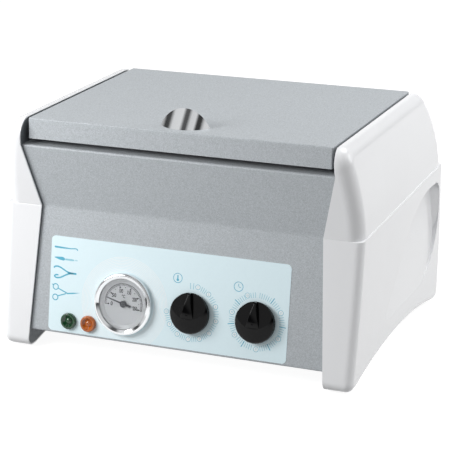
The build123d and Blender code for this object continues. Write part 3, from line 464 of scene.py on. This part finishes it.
def gauge_halo():
    """Fine white rings on the label round the gauge, cut off at the label's low edge."""
    label_low = (Vector(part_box("control_label")[0]).z - gauge_centre.z) / panel_up.z / MM
    outlines = []
    first, step, count, width, margin = 33.0, 1.5, 10, 0.5, 0.6
    for i in range(count):
        radius = first + i * step
        if radius < -label_low - margin:
            outlines += ring(radius, width, steps=96)
            continue
        half = degrees(acos((label_low + margin) / radius))
        outlines.append(stroke(circle(radius, steps=96, start=-half, sweep=2 * half), width))
    printed("gauge_halo", outlines, ink_white, gauge_centre, label_thickness)


def numbered_spots(name, centre, spots, bubble_r, line, size, material):
    """White spots with a coloured rim and a number, at (x, up, text) round a knob."""
    rims, fills, figures = [], [], []
    figure_narrow, figure_bold = 0.75, 0.03
    for x, up, text in spots:
        rims += ring(bubble_r, line, x, up, 24)
        fills.append(circle(bubble_r - line / 2, x, up, 24))
        figures.append((text, size, x, up, figure_narrow, figure_bold))
    printed(name + "_spots", fills, ink_white, centre, label_thickness)
    printed(name + "_figures", rims, material, centre,
            label_thickness + ink_thickness / 2, figures)


def heat_scale():
    """Numbered heat steps round the left knob."""
    angles = [12, 40, 70, 101, 132, 158, 184, 211, 238, 266]
    mark_r, tick_in, tick_out, tick_width, clear_of_spot, steps = 26.6, 23.6, 28.8, 0.5, 6.5, 6
    spots = []
    for number, angle in enumerate(angles, start=1):
        a = radians(angle)
        spots.append((mark_r * sin(a), mark_r * cos(a), str(number)))
    numbered_spots("heat", heat_centre, spots, bubble_r=2.4, line=0.6, size=3.4, material=ink_pale)
    marks = []
    for low, high in zip(angles, angles[1:]):
        for i in range(1, steps):
            angle = low + (high - low) * i / steps
            if min(angle - low, high - angle) > clear_of_spot:
                marks.append(tick(angle, tick_in, tick_out, tick_width))
    off_marks, off_in, off_out, off_width = (-5, 2), 23.4, 29.4, 0.6
    for angle in off_marks:
        marks.append(tick(angle, off_in, off_out, off_width))
    printed("heat_marks", marks, ink_pale, heat_centre, label_thickness)


def timer_scale():
    """Minute marks round the right knob."""
    numbered = [(64, "15"), (121, "30"), (178, "45"), (235, "60"), (284, "90"), (336, "120")]
    long_marks = [36, 93, 150, 207, 260, 310]
    mark_r = 26.8
    spots = []
    for angle, text in numbered:
        a = radians(angle)
        spots.append((mark_r * sin(a), mark_r * cos(a), text))
    numbered_spots("timer", timer_centre, spots, bubble_r=2.5, line=0.6, size=2.8, material=ink_pale)
    fine, heavy = [], []
    first, last, step, clear_of_spot = 4.0, 356.0, 5.0, 6.5
    inner, fine_out, fine_width, long_out, long_width = 23.4, 28.6, 0.5, 30.2, 0.8
    angle = first
    while angle <= last:
        if all(abs(angle - other) > clear_of_spot for other, _ in numbered):
            is_long = any(abs(angle - other) <= step / 2 for other in long_marks)
            if is_long:
                heavy.append(tick(angle, inner, long_out, long_width))
            else:
                fine.append(tick(angle, inner, fine_out, fine_width))
        angle += step
    printed("timer_marks", fine, ink_pale, timer_centre, label_thickness)
    printed("timer_quarters", heavy, ink_blue, timer_centre, label_thickness)


def small_icons():
    """Circled signs over the knobs: a heat column and a clock face."""
    radius, line = 4.6, 0.6
    heat_x, heat_up = -16.2, 32.6
    column = [(heat_x - 0.6, heat_up + 2.8), (heat_x + 0.6, heat_up + 2.8), (heat_x + 0.6, heat_up - 0.6),
              (heat_x - 0.6, heat_up - 0.6)]
    bulb = circle(1.3, heat_x, heat_up - 1.8, 20)
    outlines = ring(radius, line, heat_x, heat_up, 40) + [column, bulb]
    printed("heat_sign", outlines, ink_blue, heat_centre, label_thickness)
    clock_x, clock_up = -20.6, 31.9
    hands = [tick(0, 0, 2.9, 0.55, clock_x, clock_up), tick(110, 0.6, 2.5, 0.55, clock_x, clock_up)]
    outlines = ring(radius, line, clock_x, clock_up, 40) + hands
    printed("clock_sign", outlines, ink_blue, timer_centre, label_thickness)


def rounded_line(points, steps=6):
    """Smooth line through points, for the curved arms of the signs."""
    line = []
    ends = [points[0], *points, points[-1]]
    for a, b, c, d in zip(ends, ends[1:], ends[2:], ends[3:]):
        for i in range(steps):
            t = i / steps
            spot = []
            for p, q, r, s in zip(a, b, c, d):
                spot.append(0.5 * (2 * q + (r - p) * t + (2 * p - 5 * q + 4 * r - s) * t ** 2
                                   + (3 * q - p - 3 * r + s) * t ** 3))
            line.append(tuple(spot))
    line.append(points[-1])
    return line


def sign(name, outlines, material=None):
    """One sign on the label, left of the gauge."""
    printed(name, outlines, material or ink_blue, gauge_centre, label_thickness)


def tool_signs():
    """Four instruments in blue: a probe, a blade, nippers and scissors."""
    probe = [(-79.6, 48.9), (-78.6, 49.3), (-72, 49.0), (-61.6, 48.6), (-61.4, 47.5), (-72, 47.3),
             (-78.6, 47.4), (-79.5, 47.9)]
    hook = stroke(rounded_line([(-61.5, 48.0), (-56.6, 48.6), (-54.4, 48.2), (-53.8, 46.8)]), 1.0)
    sign("probe_handle", [probe])
    sign("probe_hook", [hook])
    blade = [(-79.2, 37.9), (-76.6, 38.4), (-70.6, 38.9), (-69.0, 38.6), (-67.4, 37.4), (-67.5, 35.9),
             (-69.0, 35.1), (-73.6, 35.7), (-79.0, 37.3)]
    sign("blade_handle", [blade])
    pale = [(-67.0, 37.6), (-60.0, 37.7), (-57.2, 37.3), (-56.8, 36.0), (-60.0, 35.7), (-67.2, 35.9)]
    sign("blade_tip", [pale, stroke([(-56.2, 36.7), (-53.4, 36.7)], 0.8)], ink_pale)
    upper = [(-79.3, 26.9), (-78.1, 28.3), (-75.1, 28.8), (-71.8, 27.9), (-68.1, 26.2), (-64.4, 24.4),
             (-60.8, 23.6), (-57.0, 23.4)]
    lower = [(-74.0, 20.1), (-76.4, 20.0), (-78.3, 18.7), (-76.3, 17.2), (-72.7, 17.5), (-69.2, 19.0),
             (-65.7, 21.0), (-61.5, 22.7), (-57.0, 23.0)]
    jaw = [(-63.5, 24.0), (-60.8, 24.2), (-54.4, 24.2), (-53.5, 23.3), (-54.4, 22.4), (-60.8, 22.2),
           (-63.5, 22.2)]
    sign("nipper_upper_arm", [stroke(rounded_line(upper), 1.5)])
    sign("nipper_lower_arm", [stroke(rounded_line(lower), 1.5)])
    sign("nipper_jaw", [jaw])
    sign("scissor_rings", ring(2.9, 1.0, -76.4, 7.9, 28) + ring(2.9, 1.0, -76.4, -2.8, 28))
    sign("scissor_stub", [stroke([(-80.4, 10.0), (-78.6, 9.2)], 1.0)])
    sign("scissor_first", [stroke([(-73.8, 6.6), (-63.7, 2.8)], 1.1),
                           [(-64.4, 3.6), (-56.8, 1.6), (-49.0, -0.4), (-57.2, 0.4), (-64.8, 2.0)]])
    sign("scissor_second", [stroke([(-73.6, -1.2), (-64.6, 2.0)], 1.1)])
    sign("scissor_blade", [[(-64.0, 2.9), (-56.4, 4.0), (-48.9, 4.6), (-56.4, 2.7), (-63.6, 1.6)]])


dial_height = 1.4
dial_start, dial_span, dial_top_value = -95.5, 200.2, 250


def dial_angle(value):
    """Clockwise angle from straight up of a reading on the dial."""
    return dial_start + dial_span * value / dial_top_value


def dial_print():
    """Scale of the gauge: marks each 5, dots and figures each 50."""
    marks, dots, figures = [], [], []
    outer_r, inner_r, long_inner_r, tick_width, arc_width = 20.4, 18.3, 17.4, 0.5, 0.4
    dot_ring_r, dot_r, small_dot_r, dot_steps = 16.6, 0.85, 0.45, 14
    figure_ring_r, figure_size, figure_bold = 13.0, 5.4, 0.16
    for value in range(0, dial_top_value + 1, 5):
        inner = long_inner_r if value % 50 == 0 else inner_r
        marks.append(tick(dial_angle(value), inner, outer_r, tick_width))
    for value in range(0, dial_top_value + 1, 50):
        a = radians(dial_angle(value))
        narrow = 0.9 if value < 100 else 0.6
        x, up = figure_ring_r * sin(a), figure_ring_r * cos(a)
        figures.append((str(value), figure_size, x, up, narrow, figure_bold))
        dots.append(circle(dot_r, dot_ring_r * sin(a), dot_ring_r * cos(a), dot_steps))
    for value in range(25, dial_top_value, 50):
        a = radians(dial_angle(value))
        dots.append(circle(small_dot_r, dot_ring_r * sin(a), dot_ring_r * cos(a), dot_steps))
    figures.append(("°C", 4.4, -0.4, 7.4, 0.8, 0.12))
    arc = circle(outer_r, start=dial_start, sweep=dial_span)
    printed("dial_marks", marks, ink_black, gauge_centre, dial_height)
    printed("dial_arc", [stroke(arc, arc_width)], ink_black, gauge_centre, dial_height)
    printed("dial_dots", dots, ink_black, gauge_centre, dial_height)
    printed("dial_figures", [], ink_black, gauge_centre, dial_height, figures)


gauge_halo()
heat_scale()
timer_scale()
small_icons()
tool_signs()
dial_print()


# Camera, floor, world and lamps: places in metres, angles in degrees

camera_place = Vector((0.66715, -1.597739, 0.65724))
camera_yaw, camera_pitch, camera_roll = 22.729, 17.650, -0.478
camera_lens, camera_sensor, camera_reach = 140.26, 36, 100
floor_half, floor_grey, floor_roughness, floor_glow = 30.0, 0.3, 0.9, 0.9
sky_white, sky_soft = 1.0, 0.46
band_direction = Vector((0.75, 0.1, 0.65)).normalized()
band_stops = [(0.0, 0.85), (0.2, 0.8), (0.27, 0.06), (0.35, 0.08), (0.43, 0.8), (0.6, 0.85), (0.66, 0.12),
              (0.72, 0.1), (0.78, 0.75), (0.86, 0.8), (0.9, 0.05), (0.95, 0.05), (0.985, 0.8)]
# Each lamp's name, place, target, width, height and power
lamps = [
    ("key_left", (-0.62, -0.64, 0.52), (-0.05, -0.1, 0.1), 0.5, 0.4, 6.3),
    ("top", (0.5, 0.5, 1.6), (0.05, 0, 0.2), 0.9, 0.8, 12),
    ("right_fill", (1.4, 0.5, 0.9), (0.15, 0, 0.12), 0.7, 0.9, 7.5),
]


def make_camera():
    """Camera at the photograph's viewing angle."""
    yaw, pitch, roll = radians(camera_yaw), radians(camera_pitch), radians(camera_roll)
    forward = Vector((-sin(yaw) * cos(pitch), cos(yaw) * cos(pitch), -sin(pitch)))
    right = Vector((cos(yaw), sin(yaw), 0))
    up = right.cross(forward)
    rolled_right = right * cos(roll) + up * sin(roll)
    rolled_up = up * cos(roll) - right * sin(roll)
    data = bpy.data.cameras.new("camera")
    data.sensor_width = camera_sensor
    data.lens = camera_lens
    data.clip_end = camera_reach
    data.dof.use_dof = False
    camera = bpy.data.objects.new("camera", data)
    turn = Matrix((rolled_right, rolled_up, -forward)).transposed().to_4x4()
    camera.matrix_world = Matrix.Translation(camera_place) @ turn
    bpy.context.scene.collection.objects.link(camera)
    bpy.context.scene.camera = camera


def make_floor():
    """Large pale floor that shows as white and keeps a soft shadow."""
    half = floor_half
    mesh = bpy.data.meshes.new("floor")
    corners = [(-half, -half, 0), (half, -half, 0), (half, half, 0), (-half, half, 0)]
    mesh.from_pydata(corners, [], [(0, 1, 2, 3)])
    floor = bpy.data.objects.new("floor", mesh)
    bpy.context.scene.collection.objects.link(floor)
    material = bpy.data.materials.new("floor_white")
    material.use_nodes = True
    tree = material.node_tree
    shader = tree.nodes["Principled BSDF"]
    shader.inputs["Base Color"].default_value = (floor_grey, floor_grey, floor_grey, 1)
    shader.inputs["Roughness"].default_value = floor_roughness
    shader.inputs["Specular IOR Level"].default_value = 0.0
    path = tree.nodes.new("ShaderNodeLightPath")
    seen = tree.nodes.new("ShaderNodeMath")
    seen.operation = "MAXIMUM"
    tree.links.new(path.outputs["Is Camera Ray"], seen.inputs[0])
    tree.links.new(path.outputs["Is Glossy Ray"], seen.inputs[1])
    glow = tree.nodes.new("ShaderNodeMath")
    glow.operation = "MULTIPLY"
    glow.inputs[1].default_value = floor_glow
    tree.links.new(seen.outputs[0], glow.inputs[0])
    shader.inputs["Emission Color"].default_value = (1, 1, 1, 1)
    tree.links.new(glow.outputs[0], shader.inputs["Emission Strength"])
    mesh.materials.append(material)


def make_world():
    """White where the camera sees it, an even soft light on the object, and dark and bright
    studio surroundings in the reflections of polished metal."""
    world = bpy.data.worlds.new("studio")
    bpy.context.scene.world = world
    world.use_nodes = True
    tree = world.node_tree
    background = tree.nodes["Background"]
    background.inputs["Color"].default_value = (1, 1, 1, 1)
    path = tree.nodes.new("ShaderNodeLightPath")
    seen = tree.nodes.new("ShaderNodeMath")
    seen.operation = "MAXIMUM"
    tree.links.new(path.outputs["Is Camera Ray"], seen.inputs[0])
    tree.links.new(path.outputs["Is Transmission Ray"], seen.inputs[1])
    coords = tree.nodes.new("ShaderNodeTexCoord")
    across = tree.nodes.new("ShaderNodeVectorMath")
    across.operation = "DOT_PRODUCT"
    across.inputs[1].default_value = band_direction
    tree.links.new(coords.outputs["Generated"], across.inputs[0])
    place = tree.nodes.new("ShaderNodeMapRange")
    place.inputs["From Min"].default_value = -1.0
    place.inputs["From Max"].default_value = 1.0
    tree.links.new(across.outputs["Value"], place.inputs["Value"])
    bands = tree.nodes.new("ShaderNodeValToRGB")
    elements = bands.color_ramp.elements
    while len(elements) < len(band_stops):
        elements.new(0.5)
    for element, (spot, grey) in zip(elements, band_stops):
        element.position = spot
        element.color = (grey, grey, grey, 1)
    tree.links.new(place.outputs["Result"], bands.inputs["Fac"])
    glossy = tree.nodes.new("ShaderNodeMix")
    glossy.data_type = "FLOAT"
    glossy.inputs[2].default_value = sky_soft
    tree.links.new(path.outputs["Is Glossy Ray"], glossy.inputs[0])
    tree.links.new(bands.outputs["Color"], glossy.inputs[3])
    strength = tree.nodes.new("ShaderNodeMix")
    strength.data_type = "FLOAT"
    strength.inputs[3].default_value = sky_white
    tree.links.new(seen.outputs[0], strength.inputs[0])
    tree.links.new(glossy.outputs[0], strength.inputs[2])
    tree.links.new(strength.outputs[0], background.inputs["Strength"])


def softbox(name, place, target, width, height, power):
    """Rectangular lamp aimed at a point."""
    data = bpy.data.lights.new(name, "AREA")
    data.shape = "RECTANGLE"
    data.size = width
    data.size_y = height
    data.energy = power
    lamp = bpy.data.objects.new(name, data)
    lamp.location = place
    lamp.visible_camera = False
    aim = Vector(target) - Vector(place)
    lamp.rotation_mode = "QUATERNION"
    lamp.rotation_quaternion = aim.to_track_quat("-Z", "Y")
    bpy.context.scene.collection.objects.link(lamp)


bpy.context.scene.view_settings.view_transform = "Standard"
make_camera()
make_floor()
make_world()
for lamp in lamps:
    softbox(*lamp)
